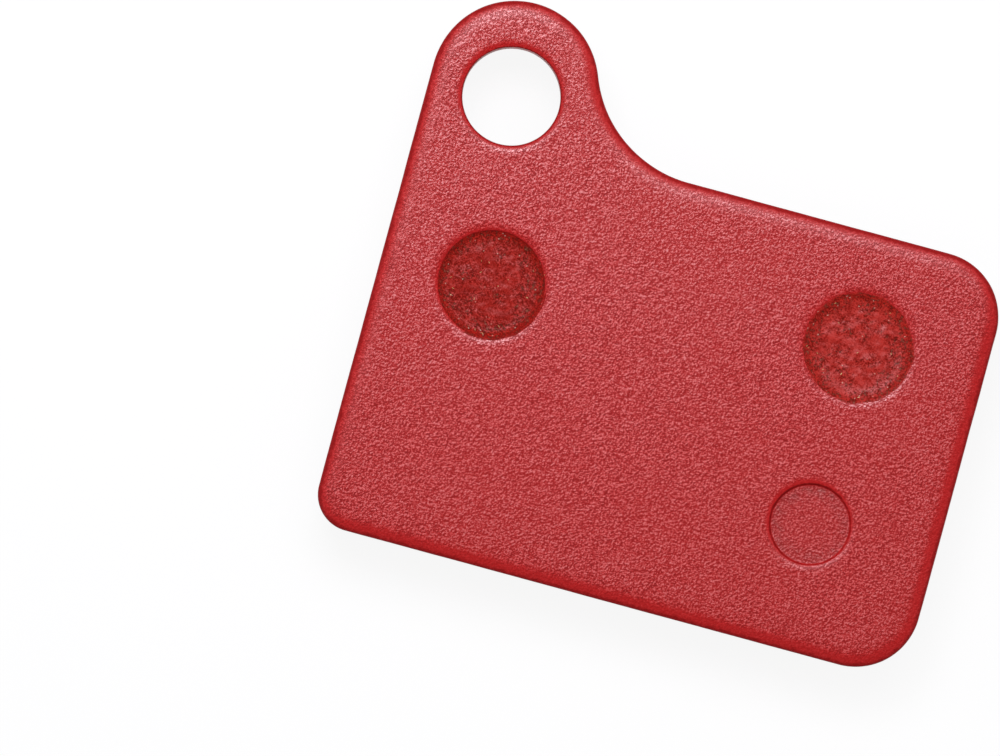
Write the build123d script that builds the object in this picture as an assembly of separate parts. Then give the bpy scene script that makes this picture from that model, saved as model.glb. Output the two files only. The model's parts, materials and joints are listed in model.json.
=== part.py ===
from build123d import *
from math import atan2, hypot, sqrt, tan
import os

# A bicycle disc brake pad: a blanked steel back plate with one friction block moulded onto it and
# through its keying holes. The pad lies on its friction face, with the piston side up.
# The origin is the middle of the plate's body, on the face that meets the rotor: +X runs along the
# body, +Y towards the ear, and +Z from the rotor towards the piston. Sizes are in millimetres.

# Back plate
body_width = 30.0
body_height = 20.8
plate_thickness = 2.0
far_corner_radius = 3.2
near_corner_radius = 1.8

# The roll that blanking leaves round the back: a slope, faired into the back and rounded at the wall
roll_reach = 0.5
roll_depth = 0.25
roll_fairing_share = 0.75
rim_radius = 0.15

# Ear and the hole for the retaining pin
ear_radius = 4.1
ear_rise = 2.4
ear_blend_radius = 6.0
pin_hole_diameter = 4.8
pin_hole_rise = 1.8
pin_hole_roll = 0.35

# Keying holes, placed from the plate's side edges and its lower edge
key_hole_diameter = 5.2
key_hole_roll = 0.4
key_plug_recess = 0.35
near_key_inset = 5.55
near_key_height = 13.5
far_key_inset = 6.35
far_key_height = 15.2

# Keying boss, half pierced: a recess in the back stands out as a boss on the front
boss_diameter = 4.0
boss_height = 0.2
boss_mouth_roll = 0.12
boss_inset = 6.35
boss_centre_height = 6.25

# Friction block
block_thickness = 2.0
block_draft = 3.0
side_margin = 1.7
ear_margin = 1.8
rim_margin = 2.4
rotor_radius = 80.0
rotor_offset = 2.5
ear_side_corner_radius = 1.2
rim_side_corner_radius = 0.5
face_edge_radius = 0.15

# Levels, edges and centres that both pieces share
plate_front = block_thickness
plate_back = plate_front + plate_thickness
near_edge = -body_width / 2
far_edge = body_width / 2
lower_edge = -body_height / 2
upper_edge = body_height / 2
key_hole_centres = [
    (near_edge + near_key_inset, lower_edge + near_key_height),
    (far_edge - far_key_inset, lower_edge + far_key_height),
]
boss_centre = (far_edge - boss_inset, lower_edge + boss_centre_height)


# A disc on the given centre, from one level up by the given height
def disc(centre, level, diameter, height):
    return Pos(*centre, level) * extrude(Circle(diameter / 2), height)


def round_corners(outline, corners):
    for point, radius in corners:
        corner = outline.vertices().sort_by_distance(point)[0]
        outline = fillet(corner, radius)
    return outline


# The body's left side runs straight into the ear, and a hollow arc leads from the ear to the top edge
def plate_outline():
    ear = Vector(near_edge + ear_radius, upper_edge + ear_rise)
    reach = sqrt((ear_radius + ear_blend_radius) ** 2 - (ear_blend_radius - ear_rise) ** 2)
    blend = Vector(ear.X + reach, upper_edge + ear_blend_radius)
    ear_start = Vector(near_edge, ear.Y)
    ear_top = ear + Vector(0, ear_radius)
    ear_end = ear + (blend - ear).normalized() * ear_radius
    blend_end = Vector(blend.X, upper_edge)
    far_upper = Vector(far_edge, upper_edge)
    far_lower = Vector(far_edge, lower_edge)
    near_lower = Vector(near_edge, lower_edge)
    sides = [
        Line(near_lower, ear_start),
        ThreePointArc(ear_start, ear_top, ear_end),
        RadiusArc(ear_end, blend_end, -ear_blend_radius),
        Polyline(blend_end, far_upper, far_lower, near_lower),
    ]
    return round_corners(
        make_face(sides),
        [
            (far_upper, far_corner_radius),
            (far_lower, far_corner_radius),
            (near_lower, near_corner_radius),
        ],
    )


def back_face(plate):
    return plate.faces().sort_by(Axis.Z)[-1]


# The fairing takes up the given share of the slope's length
def roll_rim(plate):
    slope_length = hypot(roll_reach, roll_depth)
    slope_angle = atan2(roll_depth, roll_reach)
    fairing_radius = roll_fairing_share * slope_length / tan(slope_angle / 2)
    back = back_face(plate)
    plate = plate.chamfer(roll_reach, roll_depth, back.outer_wire().edges(), back)
    plate = plate.fillet(fairing_radius, back_face(plate).outer_wire().edges())
    rim_level = plate_back - roll_depth
    rim = plate.edges().filter_by_position(Axis.Z, rim_level, rim_level)
    return plate.fillet(rim_radius, rim)


# The mouth of a punched hole or recess is rolled over on the piston side
def roll_mouth(plate, centre, roll):
    mouth = plate.edges().filter_by(GeomType.CIRCLE).sort_by_distance((*centre, plate_back))[0]
    return plate.fillet(roll, [mouth])


def punch(plate, centre, diameter, roll):
    plate = plate - disc(centre, plate_front, diameter, plate_thickness)
    return roll_mouth(plate, centre, roll)


def make_back_plate():
    plate = Pos(0, 0, plate_front) * extrude(plate_outline(), plate_thickness)
    plate = roll_rim(plate)
    pin_hole_centre = (near_edge + ear_radius, upper_edge + pin_hole_rise)
    plate = punch(plate, pin_hole_centre, pin_hole_diameter, pin_hole_roll)
    for centre in key_hole_centres:
        plate = punch(plate, centre, key_hole_diameter, key_hole_roll)
    plate = plate - disc(boss_centre, plate_back - boss_height, boss_diameter, boss_height)
    plate = plate + disc(boss_centre, plate_front - boss_height, boss_diameter, boss_height)
    return roll_mouth(plate, boss_centre, boss_mouth_roll)


# The block's lower side follows the rotor's outer edge
def block_outline():
    left = near_edge + side_margin
    right = far_edge - side_margin
    top = upper_edge - ear_margin
    bottom = lower_edge + rim_margin
    rotor_centre = bottom + rotor_radius
    left_drop = rotor_centre - sqrt(rotor_radius**2 - (left - rotor_offset) ** 2)
    right_drop = rotor_centre - sqrt(rotor_radius**2 - (right - rotor_offset) ** 2)
    upper_left = Vector(left, top)
    upper_right = Vector(right, top)
    lower_left = Vector(left, left_drop)
    lower_right = Vector(right, right_drop)
    sides = [
        Polyline(lower_left, upper_left, upper_right, lower_right),
        ThreePointArc(lower_right, Vector(rotor_offset, bottom), lower_left),
    ]
    return round_corners(
        make_face(sides),
        [
            (upper_left, ear_side_corner_radius),
            (upper_right, ear_side_corner_radius),
            (lower_left, rim_side_corner_radius),
            (lower_right, rim_side_corner_radius),
        ],
    )


# One moulding: the block narrows slightly towards its friction face, fills the keying holes with plugs
# and closes round the keying boss
def make_friction_block():
    base = Pos(0, 0, plate_front) * block_outline()
    block = extrude(base, block_thickness, dir=(0, 0, -1), taper=block_draft)
    face_rim = block.faces().sort_by(Axis.Z)[0].outer_wire().edges()
    block = block.fillet(face_edge_radius, face_rim)
    for centre in key_hole_centres:
        block = block + disc(centre, plate_front, key_hole_diameter, plate_thickness - key_plug_recess)
    return block - disc(boss_centre, plate_front - boss_height, boss_diameter, boss_height)


pieces = {"back_plate": make_back_plate(), "friction_block": make_friction_block()}
os.makedirs("parts", exist_ok=True)
for name, piece in pieces.items():
    export_step(piece, f"parts/{name}.step")
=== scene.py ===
import json
from math import atan, cos, degrees, pi, radians, sin, sqrt, tan

import bpy
import numpy as np
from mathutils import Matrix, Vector
from mathutils.geometry import delaunay_2d_cdt


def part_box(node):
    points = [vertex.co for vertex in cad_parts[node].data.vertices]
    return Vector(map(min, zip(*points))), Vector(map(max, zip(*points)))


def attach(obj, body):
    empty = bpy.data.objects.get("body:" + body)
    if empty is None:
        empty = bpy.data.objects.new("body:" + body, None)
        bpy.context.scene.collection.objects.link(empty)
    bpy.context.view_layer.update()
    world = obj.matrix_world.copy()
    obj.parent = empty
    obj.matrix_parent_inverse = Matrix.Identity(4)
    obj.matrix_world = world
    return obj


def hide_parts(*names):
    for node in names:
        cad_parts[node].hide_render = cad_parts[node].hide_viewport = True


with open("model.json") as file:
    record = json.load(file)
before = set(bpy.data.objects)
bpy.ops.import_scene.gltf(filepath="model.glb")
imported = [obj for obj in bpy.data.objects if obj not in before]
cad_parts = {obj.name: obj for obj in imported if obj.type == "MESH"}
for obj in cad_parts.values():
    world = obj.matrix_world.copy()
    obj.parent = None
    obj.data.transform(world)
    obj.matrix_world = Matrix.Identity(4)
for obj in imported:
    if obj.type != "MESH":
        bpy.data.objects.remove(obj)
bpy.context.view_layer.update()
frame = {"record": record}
mm = 0.001

# Levels and sides of the pad in millimetres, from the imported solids
plateLow, plateHigh = (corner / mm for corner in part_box("back_plate"))
_, blockHigh = (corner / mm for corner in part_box("friction_block"))
leftSide, rightSide, lowerSide = plateLow.x, plateHigh.x, plateLow.y
backLevel = plateHigh.z
plugLevel = blockHigh.z
pinHole = next(mount for mount in frame["record"]["mounts"] if mount["name"] == "pin_hole")
print("frame loaded, back of the plate at", round(backLevel, 3), "mm")


# A socket with arithmetic, for shader trees and geometry trees alike
class Wire:
    def __init__(self, tree, socket=None):
        self.tree = tree
        self.socket = socket

    def add(self, kind, settings=None, sockets=None, out=0):
        node = self.tree.nodes.new(kind)
        for name, value in (settings or {}).items():
            if name == "stops":
                self.setStops(node.color_ramp, value)
            else:
                setattr(node, name, value)
        for name, value in (sockets or {}).items():
            if isinstance(value, Wire):
                self.tree.links.new(value.socket, node.inputs[name])
            else:
                node.inputs[name].default_value = value
        return Wire(self.tree, node.outputs[out] if len(node.outputs) else None)

    @staticmethod
    def setStops(ramp, stops):
        while len(ramp.elements) < len(stops):
            ramp.elements.new(1.0)
        for element, (position, colour) in zip(ramp.elements, stops):
            element.position = position
            element.color = colour

    def math(self, operation, *values, clamp=False):
        settings = {"operation": operation, "use_clamp": clamp}
        return self.add("ShaderNodeMath", settings, dict(enumerate(values)))

    def __add__(self, other):
        return self.math("ADD", self, other)

    def __sub__(self, other):
        return self.math("SUBTRACT", self, other)

    def __mul__(self, other):
        return self.math("MULTIPLY", self, other)

    def __truediv__(self, other):
        return self.math("DIVIDE", self, other)

    def __rsub__(self, other):
        return self.math("SUBTRACT", other, self)

    def __rtruediv__(self, other):
        return self.math("DIVIDE", other, self)

    __radd__ = __add__
    __rmul__ = __mul__

    def least(self, other):
        return self.math("MINIMUM", self, other)

    def most(self, other):
        return self.math("MAXIMUM", self, other)

    # 0 below low, 1 above high, smooth between
    def step(self, low, high):
        sockets = {"Value": self, "From Min": low, "From Max": high}
        return self.add("ShaderNodeMapRange", {"interpolation_type": "SMOOTHSTEP"}, sockets)

    # this wire is the share of the second colour
    def blend(self, first, second):
        sockets = {0: self, 6: first, 7: second}
        return self.add("ShaderNodeMix", {"data_type": "RGBA"}, sockets, out=2)

    # sizes of noises and cells are in millimetres
    def noise(self, size, detail=2.0, rough=0.5, out=0):
        sockets = {"Vector": self, "Scale": 1 / (size * mm), "Detail": detail, "Roughness": rough}
        return self.add("ShaderNodeTexNoise", {}, sockets, out=out)

    def cells(self, size, out="Distance"):
        return self.add("ShaderNodeTexVoronoi", {}, {"Vector": self, "Scale": 1 / (size * mm)}, out=out)

    def vector(self, operation, *values):
        return self.add("ShaderNodeVectorMath", {"operation": operation}, dict(enumerate(values)))

    def scaled(self, amount):
        return self.add("ShaderNodeVectorMath", {"operation": "SCALE"}, {0: self, "Scale": amount})

    def shift(self, x, y, z=0.0):
        return self.vector("ADD", self, (x, y, z))

    # the place pushed about by a noise of the given size
    def warp(self, size, amount):
        push = self.vector("SUBTRACT", self.noise(size, out=1), (0.5, 0.5, 0.5))
        return self.vector("ADD", self, push.scaled(amount * mm))

    def ramp(self, *stops):
        return self.add("ShaderNodeValToRGB", {"stops": stops}, {"Fac": self})

    def mark(self, name):
        return self.add("ShaderNodeAttribute", {"attribute_name": name}, out="Fac")


def rgb(red, green, blue):
    return (red, green, blue, 1.0)


def startMaterial(name):
    material = bpy.data.materials.new(name)
    material.use_nodes = True
    material.node_tree.nodes.clear()
    board = Wire(material.node_tree)
    return material, board, board.add("ShaderNodeTexCoord", out="Object")


def endMaterial(board, settings, bumps):
    normal = None
    for height, distance, strength in bumps:
        sockets = {"Height": height, "Distance": distance * mm, "Strength": strength}
        if normal:
            sockets["Normal"] = normal
        normal = board.add("ShaderNodeBump", {}, sockets)
    if normal:
        settings["Normal"] = normal
    shader = board.add("ShaderNodeBsdfPrincipled", {}, settings)
    board.add("ShaderNodeOutputMaterial", {}, {"Surface": shader})


# Flat paths, in millimetres: every point comes with its outward normal, so a ring can be set in or out
def arc(centre, radius, start, end, step, hollow=False):
    count = max(3, round(abs(radians(end - start)) * radius / step))
    angles = np.radians(np.linspace(start, end, count + 1))
    normals = np.stack([np.cos(angles), np.sin(angles)], 1)
    points = np.array(centre) + radius * normals
    return points, -normals if hollow else normals


def closedPath(arcs, step):
    points, normals = [], []
    for index, (ends, facing) in enumerate(arcs):
        following = arcs[(index + 1) % len(arcs)][0][0]
        gap = np.linalg.norm(following - ends[-1])
        count = int(gap / step)
        shares = np.arange(1, count)[:, None] / max(count, 1)
        between = ends[-1] + shares * (following - ends[-1])
        keep = len(ends) if count else len(ends) - 1
        points += [ends[:keep], between]
        normals += [facing[:keep], np.repeat(facing[-1:], len(between), 0)]
    return np.concatenate(points), np.concatenate(normals)


def circle(centre, radius, step):
    points, normals = arc(centre, radius, 0, 360, step, hollow=True)
    return points[:-1], normals[:-1]


# Distance of each point from the closest point of a ring
def nearest(points, ring):
    return np.array([np.linalg.norm(ring - point, axis=1).min() for point in points])


# Which points lie inside a ring
def insideOf(ring, points):
    after = np.roll(ring, -1, axis=0)
    inside = np.zeros(len(points), bool)
    for a, b in zip(ring, after):
        if a[1] == b[1]:
            continue
        crossing = (a[1] <= points[:, 1]) != (b[1] <= points[:, 1])
        x = a[0] + (points[:, 1] - a[1]) / (b[1] - a[1]) * (b[0] - a[0])
        inside ^= crossing & (points[:, 0] < x)
    return inside


# Staggered rows of points inside a ring and clear of round places
def fillPoints(ring, places, step, shake, seed):
    rows = []
    low, high = ring.min(0), ring.max(0)
    after = np.roll(ring, -1, axis=0)
    rowGap = step * sqrt(3) / 2
    columns = np.arange(int((high[0] - low[0]) / step) + 2)
    for row in range(int((high[1] - low[1]) / rowGap)):
        y = low[1] + (row + 0.5) * rowGap
        crossing = (ring[:, 1] <= y) != (after[:, 1] <= y)
        a, b = ring[crossing], after[crossing]
        edges = np.sort(a[:, 0] + (y - a[:, 1]) / (b[:, 1] - a[:, 1]) * (b[:, 0] - a[:, 0]))
        line = low[0] + step * (columns + 0.5 * (row % 2))
        inside = line[np.searchsorted(edges, line) % 2 == 1]
        rows.append(np.stack([inside, np.full(len(inside), y)], 1))
    points = np.concatenate(rows)
    for centre, radius in places:
        points = points[np.linalg.norm(points - centre, axis=1) > radius]
    return points + np.random.default_rng(seed).uniform(-shake, shake, points.shape) * step


# Gathers rings, strips and caps into one closed mesh, with marks on its points
class Shell:
    def __init__(self, *marks):
        self.points = []
        self.faces = []
        self.front = []
        self.marks = {name: [] for name in marks}

    def ring(self, flat, levels, **marks):
        first = len(self.points)
        heights = np.broadcast_to(levels, len(flat))
        self.points += [(x, y, z) for (x, y), z in zip(flat, heights)]
        for name, values in self.marks.items():
            values += list(np.broadcast_to(marks.get(name, 0.0), len(flat)))
        return np.arange(first, len(self.points))

    # quads between two rings of as many points; along them, seen from outside, the second lies on the left
    def strip(self, one, two, front=False):
        quads = np.stack([one, np.roll(one, -1), np.roll(two, -1), two], 1)
        self.addFaces(quads.tolist(), front)

    # strips between each ring and the next; turned ones face the other way
    def strips(self, rings, turned=False):
        for one, two in zip(rings, rings[1:]):
            self.strip(*((two, one) if turned else (one, two)))

    # triangles over points that are already in the shell, inside the first loop and outside the others
    def cap(self, members, outer, holes=(), upward=True, front=False):
        members = np.asarray(members)
        flat = np.array([self.points[i][:2] for i in members])
        place = {index: number for number, index in enumerate(members.tolist())}
        loop = [place[i] for i in outer.tolist()]
        edges = []
        for hole in holes:
            edges += [(place[a], place[b]) for a, b in zip(hole.tolist(), np.roll(hole, -1).tolist())]
        insideOnly, nearness = 1, 1e-7
        found = delaunay_2d_cdt([Vector(p) for p in flat], edges, [loop], insideOnly, nearness)
        origin = np.array([members[number[0]] for number in found[3]])
        faces = origin[np.array(found[2])]
        for hole in holes:
            faces = faces[~np.isin(faces, hole).all(1)]  # all three corners on a hole: the hole itself
        self.addFaces((faces if upward else faces[:, ::-1]).tolist(), front)

    def addFaces(self, faces, front):
        self.faces += faces
        self.front += [front] * len(faces)

    def build(self, name):
        mesh = bpy.data.meshes.new(name)
        mesh.from_pydata((np.array(self.points) * mm).tolist(), [], self.faces)
        for mark, values in self.marks.items():
            layer = mesh.attributes.new(mark, "FLOAT", "POINT")
            layer.data.foreach_set("value", np.array(values, np.float32))
        layer = mesh.attributes.new("front", "BOOLEAN", "FACE")
        layer.data.foreach_set("value", np.array(self.front, bool))
        mesh.polygons.foreach_set("use_smooth", np.ones(len(mesh.polygons), bool))
        mesh.update()
        piece = bpy.data.objects.new(name, mesh)
        bpy.context.scene.collection.objects.link(piece)
        return piece


# A geometry tree with named inputs; the function gets the board, the incoming shape and the inputs
def makeTree(name, inputs, wireUp):
    tree = bpy.data.node_groups.new(name, "GeometryNodeTree")
    tree.interface.new_socket("Geometry", in_out="INPUT", socket_type="NodeSocketGeometry")
    tree.interface.new_socket("Geometry", in_out="OUTPUT", socket_type="NodeSocketGeometry")
    for label, value in inputs.items():
        kind = "NodeSocketInt" if isinstance(value, int) else "NodeSocketFloat"
        tree.interface.new_socket(label, in_out="INPUT", socket_type=kind)
    board = Wire(tree)
    entry = board.add("NodeGroupInput").socket.node
    taps = {socket.name: Wire(tree, socket) for socket in entry.outputs if socket.name}
    board.add("NodeGroupOutput", {}, {0: wireUp(board, taps.pop("Geometry"), taps)})
    return tree


# Runs a tree on a piece and keeps the result as a plain mesh
def runTree(piece, tree, inputs):
    modifier = piece.modifiers.new(tree.name, "NODES")
    modifier.node_group = tree
    for item in tree.interface.items_tree:
        if item.in_out == "INPUT" and item.name in inputs:
            modifier[item.identifier] = inputs[item.name]
    evaluated = piece.evaluated_get(bpy.context.evaluated_depsgraph_get())
    result = bpy.data.meshes.new_from_object(evaluated)
    piece.modifiers.remove(modifier)
    old = piece.data
    piece.data = result
    bpy.data.meshes.remove(old)
    result.name = piece.name
    print(piece.name, "has", sum(len(face.vertices) - 2 for face in result.polygons), "triangles")


def finishWith(board, shape, material, selection=None):
    sockets = {"Geometry": shape, "Material": material}
    if selection:
        sockets["Selection"] = selection
    return board.add("GeometryNodeSetMaterial", {}, sockets)


def namedValue(board, name, kind="FLOAT"):
    return board.add("GeometryNodeInputNamedAttribute", {"data_type": kind}, {"Name": name})


# Back plate, sizes in millimetres. A rolled edge also says how its coat is marked: edge is the mark at the
# wall, which brings the coat's painted edge shade; the edge number after it is what a side turned from the
# light adds, as painted shadow; shade is the least mark for that side, and fade how fast the mark runs out
plate = {
    "thickness": 2.0,
    "bodyHeight": 20.8,
    "farCorner": 3.2,
    "nearCorner": 1.8,
    "earRadius": 4.1,
    "earRise": 2.4,
    "earBlend": 6.0,
    "rimRoll": {
        "width": 1.2,
        "depth": 0.258,
        "power": 3.4,
        "round": 0.16,
        "end": 90,
        "edge": 1.0,
        "leeEdge": 0.0,
        "shade": 0.0,
        "fade": 1.0,
    },
    "pinRoll": {
        "width": 0.48,
        "depth": 0.137,
        "power": 3.0,
        "round": 0.12,
        "end": 90,
        "edge": 1.0,
        "leeEdge": 0.0,
        "shade": 0.3,
        "fade": 1.0,
    },
    "keyRoll": {
        "width": 0.5,
        "depth": 0.13,
        "power": 3.0,
        "round": 0.12,
        "end": 55,
        "edge": 0.86,
        "leeEdge": 0.0,
        "shade": 0.45,
        "fade": 1.6,
    },
    "bossRoll": {
        "width": 0.42,
        "depth": 0.055,
        "power": 2.6,
        "round": 0.06,
        "end": 90,
        "edge": 0.82,
        "leeEdge": 0.11,
        "shade": 0.2,
        "fade": 1.0,
    },
    "keyHoles": [(-9.45, 3.1), (8.65, 4.8)],
    "keyRadius": 2.6,
    "neckDrop": 0.1,  # from the plug's level down to the straight part of a keying hole
    "bossCentre": (8.65, -4.15),
    "bossRadius": 2.0,
    "bossDepth": 0.2,
    "bossWall": [  # inset, rise over the floor, share of the edge mark, thin coat
        (0.045, 0.05, 1.0, 0.0),
        (0.08, 0.004, 1.0, 0.1),
        (0.1, 0.0, 0.6, 0.5),
        (0.25, 0.0, 0.0, 0.9),
    ],
    "bossFloorInset": 0.24,
    "bossDraft": 0.02,
    "thinReach": 0.8,  # of the thin coat, in from the recess's wall
    "sprayed": np.array([-0.67, 0.74]),  # the way to the spray gun, and to the light that the coat's painted shading is lit from
    "dustReach": 1.6,
    "farDust": 0.45,  # share of the dust on the side away from the ear
    "wrapReach": 0.4,  # of the red coat, in from the front's edge
    "frontBevel": 0.06,
    "backStep": 0.112,  # distances between points
    "frontStep": 0.15,
    "wallStep": 0.17,
    "hiddenStep": 1.2,
    "hiddenInset": 0.8,  # clear of the block's outline and of its holes
    "hiddenGap": 0.4,
    "seed": 4,
}
frontLevel = backLevel - plate["thickness"]
upperSide = lowerSide + plate["bodyHeight"]
pinCentre = (pinHole["pos_m"][0] / mm, pinHole["pos_m"][1] / mm)
pinRadius = pinHole["dims"]["r_mm"]


# Outline of the blank, counterclockwise from its near lower corner
def plateOutline(step):
    near, far, ear, blend = (plate[key] for key in ("nearCorner", "farCorner", "earRadius", "earBlend"))
    earCentre = np.array([leftSide + ear, upperSide + plate["earRise"]])
    rise = blend - plate["earRise"]
    blendCentre = earCentre + np.array([sqrt((ear + blend) ** 2 - rise**2), rise])
    turn = degrees(np.arctan2(*(blendCentre - earCentre)[::-1]))
    return closedPath(
        [
            arc((leftSide + near, lowerSide + near), near, 180, 270, step),
            arc((rightSide - far, lowerSide + far), far, 270, 360, step),
            arc((rightSide - far, upperSide - far), far, 0, 90, step),
            arc(blendCentre, blend, 270, 180 + turn, step, hollow=True),
            arc(earCentre, ear, turn, 180, step),
        ],
        step,
    )


# How far a rolled edge has dropped at the given inset from its wall
def rollDrop(roll, inset):
    return roll["depth"] * (1 - inset / roll["width"]) ** roll["power"]


# Insets and drops across a rolled edge, from the flat down to the wall
def rollProfile(roll, step):
    width, begin = roll["width"], roll["round"] / 2
    lean = atan(rollDrop(roll, begin) * roll["power"] / (width - begin))
    bend = begin / (1 - sin(lean))
    insets = np.linspace(width, begin, max(4, round((width - begin) / step)))
    profile = [(inset, rollDrop(roll, inset)) for inset in insets]
    for angle in np.linspace(lean, radians(roll["end"]), 5)[1:]:
        drop = rollDrop(roll, begin) + bend * (cos(lean) - cos(angle))
        profile.append((bend * (1 - sin(angle)), drop))
    return profile


# How far a side is turned from the light, which steers the coat's painted shade: 0 faces it, 1 faces away
def shadedSideOf(normals):
    return np.clip(0.5 - 0.5 * normals @ plate["sprayed"], 0, 1)


# Rings from a rolled edge's flat side down to its wall, with the coat's rim mark and the shaded-side mark of
# its painted shade
def rolledRings(shell, path, roll, step):
    points, normals = path
    lee = shadedSideOf(normals)
    edge = roll["edge"] + roll["leeEdge"] * lee
    lee = lee.clip(roll["shade"], 1)
    rings = []
    for inset, drop in rollProfile(roll, step):
        rim = edge * (1 - inset / roll["width"]) ** roll["fade"]
        rings.append(shell.ring(points - inset * normals, backLevel - drop, rim=rim, lee=lee))
    return rings


# Half-pierced recess in the back: rolled mouth, steep wall and a floor; gives the ring round its mouth
def sinkBoss(shell, boss, step):
    points, facing = boss
    roll = plate["bossRoll"]
    lee = shadedSideOf(facing)
    # the edge mark, and with it the painted edge shade, grows on the side of the recess turned from the
    # light: a painted shadow
    edge = roll["edge"] + roll["leeEdge"] * lee
    floorLevel = backLevel - plate["bossDepth"]
    rings = rolledRings(shell, boss, roll, step)
    for inset, rise, share, thin in plate["bossWall"]:
        # the thin coat's dark tint on the wall is partly painted shade: it grows towards the foot and on the
        # side turned from the light
        marks = {"rim": edge * share, "lee": lee, "thin": thin * (0.3 + 0.7 * lee)}
        rings.append(shell.ring(points + inset * facing, floorLevel + rise, **marks))
    shell.strips(rings)

    # the coat is thin along the foot of the wall, more so on the near side
    inset = plate["bossFloorInset"] + 0.6 * step
    flat = fillPoints(points + inset * facing, [], step, 0.12, plate["seed"] + 1)
    gap = plate["bossRadius"] - np.linalg.norm(flat - plate["bossCentre"], axis=1)
    side = 0.75 - 0.12 * (flat[:, 0] - plate["bossCentre"][0])
    thin = np.clip(1.2 - gap / plate["thinReach"], 0.1, 1) * side
    floor = shell.ring(flat, floorLevel, thin=thin)
    shell.cap(np.concatenate([rings[-1], floor]), rings[-1])
    return rings[0]


# Front of the plate: fine where it shows round the block, coarse under it, with the boss standing out
def closeFront(shell, outline, boss, rimEnd, pinEnd, keyEnds):
    step = plate["frontStep"]
    clear = plate["frontBevel"] + 0.6 * step
    under = blockOutline(step, block["tuck"])
    shrunk = outline[0] - clear * outline[1]
    border = fillPoints(shrunk, [(pinCentre, pinRadius + clear)], step, 0.15, plate["seed"] + 2)
    border = border[~insideOf(under[0], border)]
    bossFoot = shell.ring(boss[0], frontLevel)
    bossFace = shell.ring(boss[0] + plate["bossDraft"] * boss[1], frontLevel - plate["bossDepth"])
    places = [(centre, plate["keyRadius"] + plate["hiddenGap"]) for centre in plate["keyHoles"]]
    places += [(plate["bossCentre"], plate["bossRadius"] + plate["hiddenGap"])]
    inset = under[0] - plate["hiddenInset"] * under[1]
    hidden = fillPoints(inset, places, plate["hiddenStep"], 0.1, plate["seed"] + 3)

    # dust lies beside the block, most of all towards the ear, and the red coat wraps the outer edge
    dust = np.clip(1.1 - nearest(border, under[0]) / plate["dustReach"], 0, 1)
    dust = dust * np.where(border[:, 1] > 0, 1.0, plate["farDust"])
    wrap = np.clip(1 - nearest(border, outline[0]) / plate["wrapReach"], 0, 1)
    exposed = shell.ring(border, frontLevel, wrap=wrap, dust=dust)
    covered = shell.ring(hidden, frontLevel)
    holes = keyEnds + [bossFoot, pinEnd]
    members = np.concatenate([rimEnd, exposed, covered] + holes)
    shell.cap(members, rimEnd, holes, upward=False, front=True)
    shell.strip(bossFace, bossFoot, front=True)
    shell.cap(bossFace, bossFace, upward=False, front=True)


def makePlate():
    shell = Shell("rim", "lee", "thin", "wrap", "dust")
    step = plate["backStep"]
    outline = plateOutline(step)
    pin = circle(pinCentre, pinRadius, step)
    keys = [circle(centre, plate["keyRadius"], step) for centre in plate["keyHoles"]]
    boss = circle(plate["bossCentre"], plate["bossRadius"], step)

    # back: rolled rings round the blank and each hole, then the flat part between them
    rimRings = rolledRings(shell, outline, plate["rimRoll"], step)
    pinRings = rolledRings(shell, pin, plate["pinRoll"], step)
    keyRings = [rolledRings(shell, key, plate["keyRoll"], step) for key in keys]
    shell.strips(rimRings, turned=True)
    for rings in [pinRings] + keyRings:
        shell.strips(rings)
    bossMouth = sinkBoss(shell, boss, step)
    clear = 0.6 * step
    flatRing = outline[0] - (plate["rimRoll"]["width"] + clear) * outline[1]
    places = [(pinCentre, pinRadius + plate["pinRoll"]["width"] + clear)]
    keyClear = plate["keyRadius"] + plate["keyRoll"]["width"] + clear
    places += [(centre, keyClear) for centre in plate["keyHoles"]]
    places += [(plate["bossCentre"], plate["bossRadius"] + plate["bossRoll"]["width"] + clear)]
    flat = shell.ring(fillPoints(flatRing, places, step, 0.12, plate["seed"]), backLevel)
    mouths = [pinRings[0]] + [rings[0] for rings in keyRings] + [bossMouth]
    shell.cap(np.concatenate([rimRings[0], flat] + mouths), rimRings[0], mouths)

    # walls, down to a small bevel at the front
    bevel = plate["frontBevel"]
    ends = []
    for path, rings in ((outline, rimRings), (pin, pinRings)):
        start = shell.points[rings[-1][0]][2]
        count = round((start - frontLevel) / plate["wallStep"])
        levels = np.linspace(start, frontLevel + bevel, count + 1)[1:]
        wall = [rings[-1]] + [shell.ring(path[0], level, rim=1.0) for level in levels]
        wall.append(shell.ring(path[0] - bevel * path[1], frontLevel, rim=1.0))
        shell.strips(wall, turned=path is outline)
        ends.append(wall[-1])
    for key, rings in zip(keys, keyRings):
        foot = shell.ring(key[0], frontLevel)
        neck = shell.ring(key[0], plugLevel - plate["neckDrop"])
        shell.strips([rings[-1], neck, foot])
        ends.append(foot)
    closeFront(shell, outline, boss, ends[0], ends[1], ends[2:])
    return shell.build("coatedPlate")


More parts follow.
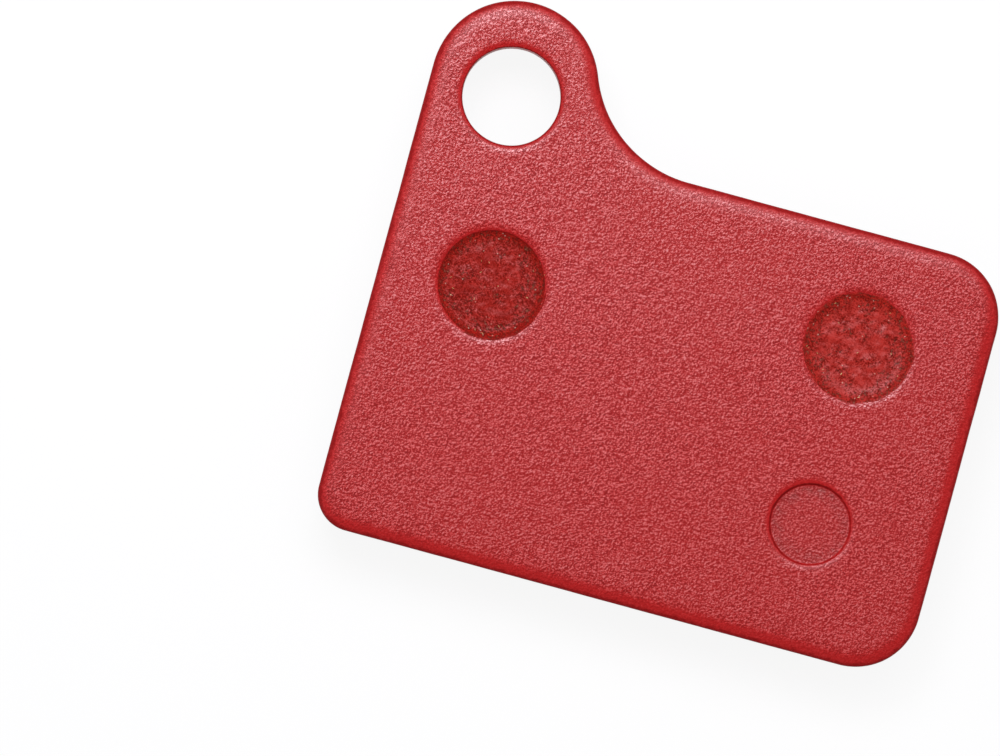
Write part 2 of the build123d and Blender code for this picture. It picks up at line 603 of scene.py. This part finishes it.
# Friction block, sizes in millimetres
block = {
    "sideMargin": 1.7,
    "earMargin": 1.8,
    "rimMargin": 2.4,
    "rotorRadius": 80.0,
    "rotorOffset": 2.5,
    "earCorner": 1.2,
    "rimCorner": 0.5,
    "draft": 3.0,
    "edge": 0.15,
    "tuck": 0.3,  # how far the plate's fine front runs on under the block
    "lipReach": (0.45, 0.75),  # of each plug, from the hole's wall to its flat end
    "spill": 0.13,  # spread of a lip over the rolled mouth
    "leeSpill": 0.35,  # share of it in the lee
    "spillRange": (0.03, 0.26),
    "lipRagged": 0.035,
    "lipWaves": 16,
    "proud": 0.014,  # rise of a lip over the coat
    "sunk": 0.045,  # taken off that rise where the spray didn't reach
    "flush": (0.1, 2.0),  # how far each plug fills its mouth away from the spray
    "hem": 0.1,  # edge of a lip, tucked under the coat
    "hemDepth": 0.05,
    "rimBand": 0.9,  # reach of the mark near a plug's rim
    "soak": (0.0, 1.0),  # how much more red each plug's end took up
    "lift": 0.02,  # room for the relief of the friction face
    "fibreMargin": 0.45,
    "faceStep": 0.15,  # distances between points
    "plugStep": 0.095,
    "hiddenStep": 1.2,
    "hiddenInset": 1.0,  # clear of the block's outline and of its holes
    "hiddenGap": 0.5,
    "seed": 9,
}


# Outline of the block where it meets the plate, set in by the given amount
def blockOutline(step, inset=0.0):
    left, right = leftSide + block["sideMargin"], rightSide - block["sideMargin"]
    top, bottom = upperSide - block["earMargin"], lowerSide + block["rimMargin"]
    big, small = block["earCorner"], block["rimCorner"]
    radius = block["rotorRadius"]
    centre = np.array([block["rotorOffset"], bottom + radius])
    corners = []
    for side, way in ((left, 1), (right, -1)):
        x = side + way * small
        y = centre[1] - sqrt((radius - small) ** 2 - (x - centre[0]) ** 2)
        lean = degrees(np.arctan2(y - centre[1], x - centre[0]))
        corners.append(((x, y), lean))
    (nearCorner, nearLean), (farCorner, farLean) = corners
    points, normals = closedPath(
        [
            arc(nearCorner, small, 180, 360 + nearLean, step),
            arc(centre, radius, nearLean, farLean, step),
            arc(farCorner, small, farLean, 0, step),
            arc((right - big, top - big), big, 0, 90, step),
            arc((left + big, top - big), big, 90, 180, step),
        ],
        step,
    )
    return points - inset * normals, normals


# Plug through a keying hole: its ragged lip spreads over the rolled mouth, most of all on the side that faces
# the spray, is tucked under the coat at its edge, and falls to the plug's sunk end
def addPlug(shell, number, centre):
    soak = block["soak"][number]
    ring, facing = circle(centre, plate["keyRadius"], plate["backStep"])
    foot = shell.ring(ring, frontLevel)
    neck = shell.ring(ring, plugLevel - plate["neckDrop"])
    turns = np.arctan2(facing[:, 1], facing[:, 0])
    swings = np.random.default_rng(block["seed"] + number).uniform(0, 2 * pi, block["lipWaves"])
    ragged = sum(np.sin((count + 3) * turns + swing) for count, swing in enumerate(swings)) / 4
    windward = facing @ plate["sprayed"]
    least = block["leeSpill"]
    spill = block["spill"] * (least + (1 - least) * np.clip(windward, 0, 1))
    spill = np.clip(spill + block["lipRagged"] * ragged, *block["spillRange"])
    proud = block["proud"] - block["sunk"] * (1 - np.clip(windward + block["flush"][number], 0, 1))

    # over the mouth; the hem's plug mark stays too low for fibres
    lips = []
    hem = (spill + block["hem"], -block["hemDepth"], 0.95)
    for spread, rise, plug in (hem, (spill, proud, 1.0), (spill * 0.5, proud, 1.0)):
        level = backLevel - rollDrop(plate["keyRoll"], spread) + rise
        marks = {"plug": plug, "nearRim": 1.0, "soak": soak}
        lips.append(shell.ring(ring - spread[:, None] * facing, level, **marks))

    # down to the flat end
    reach = block["lipReach"][number]
    crest = backLevel - plate["keyRoll"]["depth"] + proud - plugLevel
    for share in np.linspace(0, 1, 6):
        level = plugLevel + crest * (1 - share) ** 2
        marks = {"plug": 1.0, "nearRim": 1 - share * reach / block["rimBand"], "soak": soak}
        lips.append(shell.ring(ring + share * reach * facing, level, **marks))
    shell.strips([foot, neck] + lips)
    flatRing = ring + (reach + 0.6 * block["plugStep"]) * facing
    flat = fillPoints(flatRing, [], block["plugStep"], 0.2, block["seed"] + 1 + number)
    gap = plate["keyRadius"] - np.linalg.norm(flat - centre, axis=1)
    marks = {"plug": 1.0, "nearRim": np.clip(1 - gap / block["rimBand"], 0, 1), "soak": soak}
    end = shell.ring(flat, plugLevel, **marks)
    shell.cap(np.concatenate([lips[-1], end]), lips[-1])
    return foot


def makeBlock():
    shell = Shell("flank", "inner", "plug", "nearRim", "soak")
    step = block["faceStep"]
    path, normals = blockOutline(step)
    height = frontLevel - block["lift"]
    slant = tan(radians(block["draft"]))
    edge = block["edge"]

    # flanks from the plate down to the friction face, with a small round between
    rings = []
    for level in np.linspace(height, edge, round((height - edge) / step) + 1):
        rings.append(shell.ring(path - (height - level) * slant * normals, block["lift"] + level, flank=1.0))
    for angle in np.radians((30, 60, 90)):
        inset = (height - edge) * slant + edge * (1 - cos(angle))
        level = block["lift"] + edge * (1 - sin(angle))
        rings.append(shell.ring(path - inset * normals, level, flank=1 - angle / pi))
    shell.strips(rings, turned=True)

    # friction face
    faceInset = (height - edge) * slant + edge
    facePoints = fillPoints(path - (faceInset + 0.6 * step) * normals, [], step, 0.15, block["seed"])
    inner = nearest(facePoints, path) > faceInset + block["fibreMargin"]
    face = shell.ring(facePoints, block["lift"], inner=inner)
    shell.cap(np.concatenate([rings[-1], face]), rings[-1], upward=False)

    # back of the block: plugs through the keying holes and a pocket for the boss
    feet = [addPlug(shell, number, centre) for number, centre in enumerate(plate["keyHoles"])]
    pocket, facing = circle(plate["bossCentre"], plate["bossRadius"], plate["backStep"])
    mouth = shell.ring(pocket, frontLevel)
    floor = shell.ring(pocket + plate["bossDraft"] * facing, frontLevel - plate["bossDepth"])
    shell.strip(mouth, floor)
    shell.cap(floor, floor)
    places = [(centre, plate["keyRadius"] + block["hiddenGap"]) for centre in plate["keyHoles"]]
    places += [(plate["bossCentre"], plate["bossRadius"] + block["hiddenGap"])]
    inset = path - block["hiddenInset"] * normals
    hidden = fillPoints(inset, places, block["hiddenStep"], 0.1, block["seed"] + 5)
    back = shell.ring(hidden, frontLevel)
    holes = feet + [mouth]
    shell.cap(np.concatenate([rings[0], back] + holes), rings[0], holes)
    return shell.build("frictionMoulding")


# the coat's reds: deep and bright are the painted shade and painted light of the grain, the edge tone is
# painted shade of the edges, thin is a thin coat
coatTones = {
    "deep": rgb(0.285, 0.0052, 0.0058),
    "bright": rgb(0.69, 0.0095, 0.0108),
    "cloud": rgb(0.51, 0.0085, 0.0075),
    "cutEdge": rgb(0.17, 0.003, 0.003),
    "thin": rgb(0.17, 0.042, 0.037),
}


# Red powder coat: a fine hammered grain with painted shading in its red, lighter on the side of each bump
# turned to the light, deeper red on its far side and in its valleys; it is thin in corners that the spray
# missed, with painted shade along the rolled edges and walls and a painted sheen on rims turned to the light
def makeRedCoat():
    material, board, place = startMaterial("redCoat")
    rim = board.mark("rim")
    lee = board.mark("lee")
    thin = board.mark("thin")
    loose = place.warp(0.6, 0.1)

    # painted shading: how much more a bump of the given size faces the light than its far side
    def facing(size, reach):
        x, y = plate["sprayed"] * reach * mm
        ahead, behind = loose.shift(x, y), loose.shift(-x, -y)
        return behind.noise(size, detail=3.0, rough=0.7) - ahead.noise(size, detail=3.0, rough=0.7)

    hammer = loose.noise(0.115, detail=3.0, rough=0.8)
    # painted shading of the grain: lit and shaded sides of the bumps and darker valleys; the gloss follows
    # it, with a sparkle on its lightest grains as a painted highlight
    swept = facing(0.115, 0.021) * 4.2 + facing(0.4, 0.06) * 1.0 + (hammer - 0.5) * 4.2
    wall = rim.step(0.985, 1.0)
    fray = (place.noise(0.3, detail=3.0) - 0.5) * 0.3
    band = (rim + lee * 0.28 + fray).step(0.6, 0.9)
    calm = band * (0.75 - wall * 0.4)
    paintedGrainShading = swept * (1 - calm)
    film = board.math("ADD", paintedGrainShading, 0.5, clamp=True)
    fine = place.noise(0.07, detail=1.0)
    cloud = place.noise(5.0, detail=3.0)
    # the red runs from painted shade (deep) to painted light (bright), under a random cloud of tone
    tone = film.blend(coatTones["deep"], coatTones["bright"])
    tone = (cloud.step(0.35, 0.7) * 0.2).blend(tone, coatTones["cloud"])
    # painted edge shade: dark red along the end of each rolled edge and its wall, standing for the wall
    # falling away from the light
    edgeShade = (rim + (1 - lee) * 0.04 + fray).step(0.8, 0.95)
    tone = (edgeShade * (0.6 - wall * 0.38)).blend(tone, coatTones["cutEdge"])
    bare = (place.noise(0.3, detail=3.0).step(0.42, 0.66) * 0.42 + 0.18) * thin
    tone = bare.blend(tone, coatTones["thin"])
    smooth = 1 - rim.step(0.55, 0.95) * (0.9 - wall * 0.5)
    settings = {"Base Color": tone, "Roughness": 0.32 + fine * 0.08 + thin * 0.1, "Specular IOR Level": 0.08}
    # painted sheen: more gloss on rims turned to the light, and less on rims in shade
    paintedSheen = rim.step(0.1, 0.5) * (1 - lee) * (0.32 - wall * 0.32)
    gloss = film.math("POWER", film, 3.2) * (1 - paintedSheen) * 0.62 + paintedSheen * 0.206 + 0.053
    gloss = gloss + paintedGrainShading.step(0.45, 1.1) * (1 - paintedSheen) * 0.34
    gloss = gloss * (1 - band * (lee * 0.25 + 0.1)) * (1 - edgeShade * (0.8 - wall * 0.25))
    settings.update({"Coat Weight": gloss, "Coat Roughness": 0.4, "Coat IOR": 2.6})
    endMaterial(board, settings, [(hammer, 0.05, smooth), (fine, 0.012, smooth)])
    return material


primerTones = {
    "black": rgb(0.011, 0.008, 0.0085),
    "brown": rgb(0.032, 0.021, 0.018),
    "dust": rgb(0.075, 0.050, 0.034),
    "red": rgb(0.20, 0.012, 0.011),
    "bead": rgb(0.78, 0.75, 0.74),
}


# Black bonding primer in glossy beads whose tops carry painted glints as near-white metal spots; dusty beside
# the block, red where the coat wraps its edge
def makeBlackPrimer():
    material, board, place = startMaterial("blackPrimer")
    dust = board.mark("dust")
    wrap = board.mark("wrap")
    swell = place.warp(0.3, 0.1).noise(0.15, detail=2.0, rough=0.6)
    fine = place.noise(0.07, detail=1.0)
    cloud = place.noise(1.8, detail=3.0)
    tone = cloud.step(0.4, 0.7).blend(primerTones["black"], primerTones["brown"])
    dusty = (dust + cloud * 0.9).step(0.75, 1.25) * place.noise(0.25, detail=3.0).step(0.35, 0.65)
    tone = (dusty * 0.8).blend(tone, primerTones["dust"])
    sprayed = (wrap + place.noise(0.3, detail=2.0) * 0.6).step(0.75, 1.05)
    tone = (sprayed * 0.85).blend(tone, primerTones["red"])
    # painted glints on the bead tops: near-white and metallic, standing for highlights
    bead = swell.step(0.55, 0.67) * (1 - dusty * 0.85) * (1 - sprayed)
    tone = bead.blend(tone, primerTones["bead"])
    rough = 0.3 + dusty * 0.35 - bead * 0.14
    settings = {"Base Color": tone, "Metallic": bead * 0.95, "Roughness": rough, "Specular IOR Level": 0.2}
    endMaterial(board, settings, [(swell, 0.12, 1.0), (fine, 0.012, 0.7)])
    return material


compoundTones = {
    "olive": rgb(0.105, 0.100, 0.075),
    "rust": rgb(0.34, 0.085, 0.035),
    "slate": rgb(0.055, 0.062, 0.085),
    "paleSlate": rgb(0.42, 0.43, 0.48),
    "dark": rgb(0.012, 0.010, 0.008),
    "pale": rgb(0.66, 0.62, 0.52),
    "brassy": rgb(0.42, 0.30, 0.10),
    "overspray": rgb(0.22, 0.017, 0.015),
}


# Friction compound: khaki binder with mineral grains, chips of several colours, metal specks and pores
def compoundTone(board, place):
    loose = place.warp(0.25, 0.14)
    mottle = loose.noise(0.16, detail=4.0, rough=0.75)
    patch = place.noise(1.8, detail=2.0)

    # torn grains: the peaks of a noise of the given size, at a place of their own
    def chips(size, least, away):
        return loose.shift(away * mm, away * mm).noise(size, detail=4.0, rough=0.6).step(least, least + 0.04)

    # small specks of several sizes, of which the given share is there
    def specks(size, share):
        crooked = place.warp(0.12, 0.1)
        chance = crooked.cells(size, out="Color")
        pick = chance.add("ShaderNodeSeparateColor", {}, {0: chance}, out=0)
        bulk = chance.add("ShaderNodeSeparateColor", {}, {0: chance}, out=1)
        return (1 - (crooked.cells(size) + bulk * 0.2).step(0.22, 0.4)) * pick.math("LESS_THAN", pick, share)

    tone = mottle.ramp(
        (0.37, rgb(0.026, 0.018, 0.009)),
        (0.45, rgb(0.085, 0.062, 0.032)),
        (0.52, rgb(0.140, 0.106, 0.058)),
        (0.60, rgb(0.215, 0.172, 0.105)),
        (0.68, rgb(0.44, 0.41, 0.34)),
    )
    tone = (patch.step(0.45, 0.65) * 0.25).blend(tone, compoundTones["olive"])
    rust = chips(0.8, 0.645, 7.0) * mottle.step(0.3, 0.5)
    tone = (rust * 0.8).blend(tone, compoundTones["rust"])
    slate = mottle.step(0.5, 0.62).blend(compoundTones["slate"], compoundTones["paleSlate"])
    tone = (chips(0.8, 0.645, 23.0) * 0.8).blend(tone, slate)
    dark = chips(0.7, 0.595, 41.0).most(chips(0.36, 0.625, 59.0))
    tone = (dark * 0.92).blend(tone, compoundTones["dark"])
    tone = specks(0.19, 0.045).blend(tone, compoundTones["pale"])
    tone = specks(0.23, 0.025).blend(tone, compoundTones["brassy"])
    return tone, mottle, dark


def makeCompound():
    material, board, place = startMaterial("frictionCompound")
    tone, mottle, dark = compoundTone(board, place)
    flank = board.mark("flank")
    drift = place.noise(0.4, detail=4.0) + (place.noise(4.0) - 0.5) * 0.9
    tone = (drift.step(0.46, 0.6) * flank * 0.85).blend(tone, compoundTones["overspray"])
    rough = 0.66 - dark * 0.3 + mottle * 0.15
    settings = {"Base Color": tone, "Roughness": rough, "Specular IOR Level": 0.14}
    endMaterial(board, settings, [(mottle, 0.06, 0.9), (1 - dark, 0.04, 0.6)])
    return material


plugTones = {
    "deep": rgb(0.17, 0.0045, 0.002),
    "film": rgb(0.55, 0.015, 0.007),
    "pit": rgb(0.06, 0.008, 0.005),
    "earth": rgb(0.05, 0.010, 0.006),
    "paleEarth": rgb(0.30, 0.10, 0.055),
    "glint": rgb(0.72, 0.50, 0.40),
    "lip": rgb(0.24, 0.007, 0.006),
}


# Plug ends: rough compound that soaked up a film of red, thin and earthy in spots, mostly near the rim; dark
# spots without gloss are painted shade for its pits, and pale spots are painted glints
def makePaintedPlug():
    material, board, place = startMaterial("paintedPlug")
    nearRim = board.mark("nearRim")
    soak = board.mark("soak")
    grit = place.warp(0.3, 0.08).noise(0.088, detail=3.0, rough=0.85)
    streak = place.warp(0.9, 0.5).noise(0.42, detail=3.0, rough=0.6)
    patchy = place.noise(0.75, detail=2.0) + nearRim * 0.25
    rough = 0.45 + patchy.step(0.36, 0.6) * 0.75
    swept = (grit - 0.5) * 4.8 * rough + (streak - 0.5) * (soak * 0.9 + 1.1) + soak * 0.24
    film = board.math("ADD", swept, 0.47, clamp=True)
    tone = film.blend(plugTones["deep"], plugTones["film"])
    # painted shade: dark spots without gloss that stand for the shade in pits
    pit = 1 - place.noise(0.13, detail=3.0, rough=0.8).step(0.34, 0.43)
    tone = (pit * rough * 0.7).blend(tone, plugTones["pit"])
    speck = place.noise(0.16, detail=3.0, rough=0.7)
    bare = patchy.step(0.5, 0.66) * speck.step(0.48, 0.62)
    earth = speck.step(0.58, 0.7).blend(plugTones["earth"], plugTones["paleEarth"])
    tone = (bare * 0.75).blend(tone, earth)
    # painted glints: pale spots standing for highlights on the plug's end
    glint = (1 - place.warp(0.1, 0.08).cells(0.34).step(0.06, 0.13)) * patchy.step(0.46, 0.6)
    tone = (glint * 0.7).blend(tone, plugTones["glint"])
    ragged = (nearRim + (place.noise(0.3, detail=3.0) - 0.5) * 0.8).step(0.75, 1.0)
    tone = (ragged * (0.35 - soak * 0.2)).blend(tone, plugTones["lip"])
    settings = {"Base Color": tone, "Roughness": 0.4 + bare * 0.2, "Specular IOR Level": 0.06}
    dull = nearRim.step(0.5, 1.0) * (0.8 - soak * 0.3)
    gloss = film.math("POWER", film, 2.2) * (1 - bare * 0.5) * (1 - pit) * (1 - dull)
    settings.update({"Coat Weight": gloss, "Coat Roughness": 0.4, "Coat IOR": 1.5})
    endMaterial(board, settings, [(grit, 0.05, 0.9)])
    return material


# Brass and copper fibres in the compound
def makeMetal(name, bright, dull):
    material, board, place = startMaterial(name)
    wear = place.noise(0.2, detail=3.0)
    tone = wear.step(0.35, 0.65).blend(dull, bright)
    settings = {"Base Color": tone, "Metallic": 0.95, "Roughness": 0.28 + wear * 0.25}
    endMaterial(board, settings, [(wear, 0.01, 0.5)])
    return material


# Shape with its points moved along their normals
def raised(board, shape, height):
    normal = board.add("GeometryNodeInputNormal")
    moved = board.add("GeometryNodeSetPosition", {}, {"Geometry": shape, "Offset": normal.scaled(height)})
    return board.add("GeometryNodeRealizeInstances", {}, {"Geometry": moved})


# Relief of the coat and the primer as real shape
def coatRelief(board, shape, taps):
    position = board.add("GeometryNodeInputPosition")
    rim = namedValue(board, "rim")
    front = namedValue(board, "front", "BOOLEAN")

    def noise(size, shift):
        sockets = {"Vector": position.shift(shift, shift, shift), "Scale": 1 / size, "Detail": 1.0}
        return board.add("ShaderNodeTexNoise", {}, sockets) - 0.5

    coat = noise(taps["Peel Size"], 0.1) * taps["Peel Height"] * (1 - rim * 0.7)
    coat = coat + noise(taps["Swell Size"], 0.2) * taps["Swell Height"]
    primer = noise(taps["Pimple Size"], 0.3) * taps["Pimple Height"] * (1 - rim)
    height = board.add("GeometryNodeSwitch", {"input_type": "FLOAT"}, {0: front, 1: coat, 2: primer})
    coated = finishWith(board, raised(board, shape, height), redCoat)
    return finishWith(board, coated, blackPrimer, front)


# Relief of the compound: pits in the face, crumbly flanks, rough plug ends
def compoundRelief(board, shape, taps):
    position = board.add("GeometryNodeInputPosition")
    plug = namedValue(board, "plug")
    flank = namedValue(board, "flank")
    nearRim = namedValue(board, "nearRim")

    def noise(size, detail):
        sockets = {"Vector": position, "Scale": 1 / size, "Detail": detail}
        return board.add("ShaderNodeTexNoise", {}, sockets)

    rough = noise(taps["Grain Size"], 2.0)
    lump = noise(taps["Lump Size"], 1.0)
    pit = (rough - 0.55).least(0.0) * taps["Pit Depth"]
    crumb = (lump - 0.62) * taps["Crumb Depth"] * flank
    tuft = ((rough - 0.5) * taps["Plug Rough"] + (lump - 0.5) * taps["Plug Lump"]) * plug * (1 - nearRim)
    height = pit * (1 - plug) + crumb + tuft
    plain = finishWith(board, raised(board, shape, height), compound)
    ends = plug.math("GREATER_THAN", plug, 0.5)
    return finishWith(board, plain, paintedPlug, ends)


# Bent snippets of wire, scattered over the faces with the given mark and sunk into them
def scatterFibres(material, mark):
    def wireUp(board, shape, taps):
        wanted = namedValue(board, mark)
        wanted = wanted.math("GREATER_THAN", wanted, 0.99)
        sockets = {"Mesh": shape, "Selection": wanted, "Density": taps["Density"], "Seed": taps["Seed"]}
        points = board.add("GeometryNodeDistributePointsOnFaces", {}, sockets)
        aligned = Wire(board.tree, points.socket.node.outputs["Rotation"])

        # one snippet, with the middle of its bow on the point
        bow = {"Resolution": 7, "Radius": taps["Bend Radius"]}
        bow.update({"Start Angle": taps["Sweep"] * -0.5, "Sweep Angle": taps["Sweep"]})
        section = {"Resolution": 5, "Radius": taps["Wire Radius"]}
        strand = {"Fill Caps": True}
        strand["Curve"] = board.add("GeometryNodeCurveArc", {"mode": "RADIUS"}, bow)
        strand["Profile Curve"] = board.add("GeometryNodeCurvePrimitiveCircle", {}, section)
        middle = board.add("ShaderNodeCombineXYZ", {}, {0: taps["Bend Radius"] * -1.0, 2: taps["Rise"]})
        snippet = {"Geometry": board.add("GeometryNodeCurveToMesh", {}, strand), "Translation": middle}
        snippet = board.add("GeometryNodeTransform", {}, snippet)

        # every snippet is turned about the face's normal and has its own length and girth
        vectors = {"data_type": "FLOAT_VECTOR"}
        turns = {0: (0, 0, 0), 1: (0, 0, 2 * pi), "Seed": taps["Seed"] + 1}
        sizes = {0: (0.4, 0.4, 0.8), 1: (1.3, 1.0, 1.0), "Seed": taps["Seed"] + 2}
        turn = board.add("FunctionNodeRandomValue", vectors, turns)
        turn = board.add("FunctionNodeEulerToRotation", {}, {0: turn})
        turned = {"Rotation": aligned, "Rotate By": turn}
        placed = {"Points": points, "Instance": snippet}
        placed["Rotation"] = board.add("FunctionNodeRotateRotation", {"rotation_space": "LOCAL"}, turned)
        placed["Scale"] = board.add("FunctionNodeRandomValue", vectors, sizes)
        scattered = board.add("GeometryNodeInstanceOnPoints", {}, placed)
        whole = board.add("GeometryNodeRealizeInstances", {}, {"Geometry": scattered})
        return finishWith(board, whole, material)

    return wireUp


redCoat = makeRedCoat()
blackPrimer = makeBlackPrimer()
compound = makeCompound()
paintedPlug = makePaintedPlug()
brass = makeMetal("brass", rgb(0.83, 0.66, 0.33), rgb(0.50, 0.36, 0.14))
copper = makeMetal("copper", rgb(0.80, 0.40, 0.24), rgb(0.42, 0.17, 0.09))
print("materials made")

coatSizes = {
    "Peel Size": 0.3 * mm,
    "Peel Height": 0.02 * mm,
    "Swell Size": 3.0 * mm,
    "Swell Height": 0.03 * mm,
    "Pimple Size": 0.4 * mm,
    "Pimple Height": 0.07 * mm,
}
coatedPlate = makePlate()
runTree(coatedPlate, makeTree("coatRelief", coatSizes, coatRelief), coatSizes)

compoundSizes = {
    "Grain Size": 0.3 * mm,
    "Lump Size": 0.9 * mm,
    "Pit Depth": 0.12 * mm,
    "Crumb Depth": 0.12 * mm,
    "Plug Rough": 0.12 * mm,
    "Plug Lump": 0.12 * mm,
}
frictionMoulding = makeBlock()
runTree(frictionMoulding, makeTree("compoundRelief", compoundSizes, compoundRelief), compoundSizes)

# Fibres: density is per square metre, lengths in metres, angles in radians
fibres = {
    "brassCurls": {
        "material": brass,
        "mark": "inner",
        "inputs": {
            "Density": 9.0e4,
            "Seed": 3,
            "Bend Radius": 0.42 * mm,
            "Sweep": 1.9,
            "Wire Radius": 0.028 * mm,
            "Rise": -0.008 * mm,
        },
    },
    "copperChips": {
        "material": copper,
        "mark": "inner",
        "inputs": {
            "Density": 1.4e5,
            "Seed": 11,
            "Bend Radius": 0.3 * mm,
            "Sweep": 0.6,
            "Wire Radius": 0.04 * mm,
            "Rise": -0.02 * mm,
        },
    },
    "plugFibres": {
        "material": brass,
        "mark": "plug",
        "inputs": {
            "Density": 5.0e5,
            "Seed": 21,
            "Bend Radius": 0.25 * mm,
            "Sweep": 0.5,
            "Wire Radius": 0.02 * mm,
            "Rise": -0.004 * mm,
        },
    },
}
fibrePieces = []
for name, fibre in fibres.items():
    piece = bpy.data.objects.new(name, frictionMoulding.data.copy())
    bpy.context.scene.collection.objects.link(piece)
    scatter = scatterFibres(fibre["material"], fibre["mark"])
    runTree(piece, makeTree(name, fibre["inputs"], scatter), fibre["inputs"])
    fibrePieces.append(piece)

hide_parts("back_plate")
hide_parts("friction_block")
for piece in [coatedPlate, frictionMoulding] + fibrePieces:
    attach(piece, "root")
print("pieces placed")

# Camera over the pad, square to its back; sizes in millimetres, roll in degrees
camera = {
    "target": (-7.835, -1.222),
    "frameWidth": 48.82,
    "roll": 15.2,
    "lens": 295.0,
    "sensor": 36.0,
}
cameraData = bpy.data.cameras.new("camera")
cameraData.lens = camera["lens"]
cameraData.sensor_width = camera["sensor"]
cameraObject = bpy.data.objects.new("camera", cameraData)
rise = camera["frameWidth"] * camera["lens"] / camera["sensor"]
cameraObject.location = (camera["target"][0] * mm, camera["target"][1] * mm, (backLevel + rise) * mm)
cameraObject.rotation_euler = (0, 0, radians(camera["roll"]))
bpy.context.scene.collection.objects.link(cameraObject)
bpy.context.scene.camera = cameraObject


# Studio: white floor that keeps a soft shadow, and soft boxes towards the top of the picture
studio = {
    "floorHalf": 2.0,
    "floorLevel": -0.01 * mm,
    "paper": rgb(0.9, 0.9, 0.9),
    "white": 1.03,
    "whiteShare": 0.86,  # of the floor in the picture; the rest is paper, which keeps the shadow
    "world": 0.39,
    "tint": (0.97, 0.96, 1.04),
    "boxes": [
        {"name": "topBox", "tilt": 28, "turn": -4, "distance": 0.2, "size": (0.175, 0.125), "power": 0.157},
        {"name": "glareCard", "tilt": 30, "turn": 16, "distance": 0.1, "size": (0.045, 0.034), "power": 0.03},
    ],
    "wall": {"distance": 0.4, "rise": 0.14, "size": (0.8, 0.28), "power": 0.2},
}


def makeFloor():
    half = studio["floorHalf"]
    corners = [(-half, -half), (half, -half), (half, half), (-half, half)]
    mesh = bpy.data.meshes.new("floor")
    mesh.from_pydata([(x, y, studio["floorLevel"]) for x, y in corners], [], [(0, 1, 2, 3)])
    floor = bpy.data.objects.new("floor", mesh)
    bpy.context.scene.collection.objects.link(floor)
    material, board, _ = startMaterial("whiteFloor")
    kinds = ("Camera", "Glossy", "Transmission")
    rays = [board.add("ShaderNodeLightPath", out=f"Is {kind} Ray") for kind in kinds]
    seen = rays[0].most(rays[1]).most(rays[2])
    paper = board.add("ShaderNodeBsdfDiffuse", {}, {"Color": studio["paper"]})
    white = board.add("ShaderNodeEmission", {}, {"Color": rgb(1, 1, 1), "Strength": studio["white"]})
    mixed = board.add("ShaderNodeMixShader", {}, {0: seen * studio["whiteShare"], 1: paper, 2: white})
    board.add("ShaderNodeOutputMaterial", {}, {"Surface": mixed})
    mesh.materials.append(material)


def addBox(name, place, facing, size, power):
    data = bpy.data.lights.new(name, "AREA")
    data.shape = "RECTANGLE"
    data.size, data.size_y = size
    data.energy = power
    data.color = studio["tint"]
    lamp = bpy.data.objects.new(name, data)
    lamp.location = place
    lamp.rotation_euler = facing.to_track_quat("-Z", "Y").to_euler()
    lamp.visible_camera = False
    bpy.context.scene.collection.objects.link(lamp)


def makeLights():
    for box in studio["boxes"]:
        tilt, turn = radians(box["tilt"]), radians(camera["roll"] + box["turn"])
        away = Vector((-sin(turn) * sin(tilt), cos(turn) * sin(tilt), cos(tilt)))
        addBox(box["name"], away * box["distance"], -away, box["size"], box["power"])
    wall = studio["wall"]
    for number in range(2):
        turn = radians(camera["roll"] + 90 - 180 * number)
        away = Vector((-sin(turn), cos(turn), 0))
        place = away * wall["distance"] + Vector((0, 0, wall["rise"]))
        addBox(f"wallBox{number}", place, -away, wall["size"], wall["power"])
    world = bpy.data.worlds.new("studio")
    world.use_nodes = True
    sky = world.node_tree.nodes["Background"].inputs
    sky["Color"].default_value = rgb(1, 1, 1)
    sky["Strength"].default_value = studio["world"]
    bpy.context.scene.world = world


makeFloor()
makeLights()
bpy.context.scene.view_settings.view_transform = "Standard"
print("studio ready")
